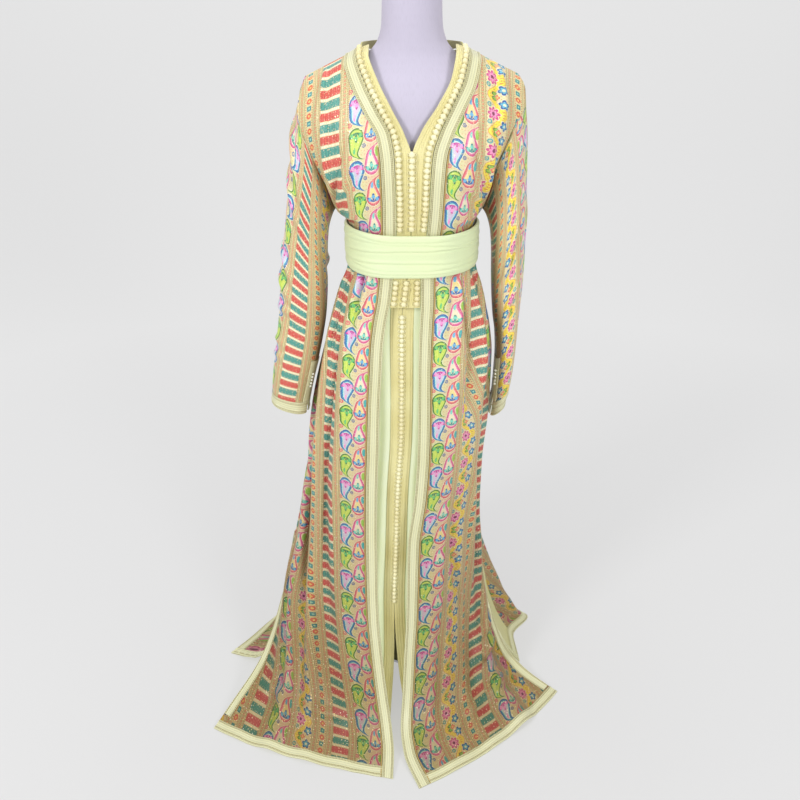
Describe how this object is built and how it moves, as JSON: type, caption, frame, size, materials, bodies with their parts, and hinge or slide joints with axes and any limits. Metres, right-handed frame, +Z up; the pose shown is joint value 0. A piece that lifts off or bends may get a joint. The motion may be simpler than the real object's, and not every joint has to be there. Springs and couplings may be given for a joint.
{
  "type": "moroccan kaftan on dress form",
  "caption": "Long two-layer kaftan with printed open-front robe, pale satin bands, button rows, pleated sash and plain underdress, on a limbless dress form with a round base.",
  "frame": {"origin": "middle of the bounding box at floor level, under the spread hems; the form's axis stands 59 mm to +X and 129 mm to +Y of it", "axes": "+Z up, the front of the garment faces -Y, the garment's right-hand sleeve as seen from the front is at +X"},
  "size_m": [0.8658, 0.7431, 1.5975],
  "materials": {
    "robe_print": "printed silk, satin sheen",
    "pale_satin": "satin",
    "mint_satin": "satin",
    "sfifa_braid": "braided cord",
    "knot_buttons": "knotted cord",
    "sash_crepe": "soft crepe",
    "cuff_buttons": "satin",
    "form_skin": "matt",
    "stand_metal": "satin"
  },
  "bodies": {
    "root": {"robe_front_l": "robe_print", "robe_front_r": "robe_print", "robe_back": "robe_print", "sleeve_l": "robe_print", "sleeve_r": "robe_print", "front_border_l": "pale_satin", "front_border_r": "pale_satin", "hem_band_l": "pale_satin", "hem_band_r": "pale_satin", "hem_band_back": "pale_satin", "slit_band_front_l": "pale_satin", "slit_band_front_r": "pale_satin", "slit_band_back_l": "pale_satin", "slit_band_back_r": "pale_satin", "collar": "pale_satin", "cuff_band_l": "pale_satin", "cuff_band_r": "pale_satin", "cuff_facing_a_l": "pale_satin", "cuff_facing_a_r": "pale_satin", "cuff_facing_b_l": "pale_satin", "cuff_facing_b_r": "pale_satin", "under_front_l": "mint_satin", "under_front_r": "mint_satin", "under_back": "mint_satin", "plastron_l": "sfifa_braid", "plastron_r": "sfifa_braid", "under_band_l": "sfifa_braid", "under_band_r": "sfifa_braid", "buttons_l": "knot_buttons", "buttons_r": "knot_buttons", "buttons_c": "knot_buttons", "buttons_low_l": "knot_buttons", "buttons_low_r": "knot_buttons", "buttons_low_c": "knot_buttons", "under_buttons": "knot_buttons", "sash": "sash_crepe", "cuff_buttons_l": "cuff_buttons", "cuff_buttons_r": "cuff_buttons", "form_torso": "form_skin", "form_neck_cap": "stand_metal", "form_pole": "stand_metal", "form_base": "stand_metal"}
  },
  "joints": []
}
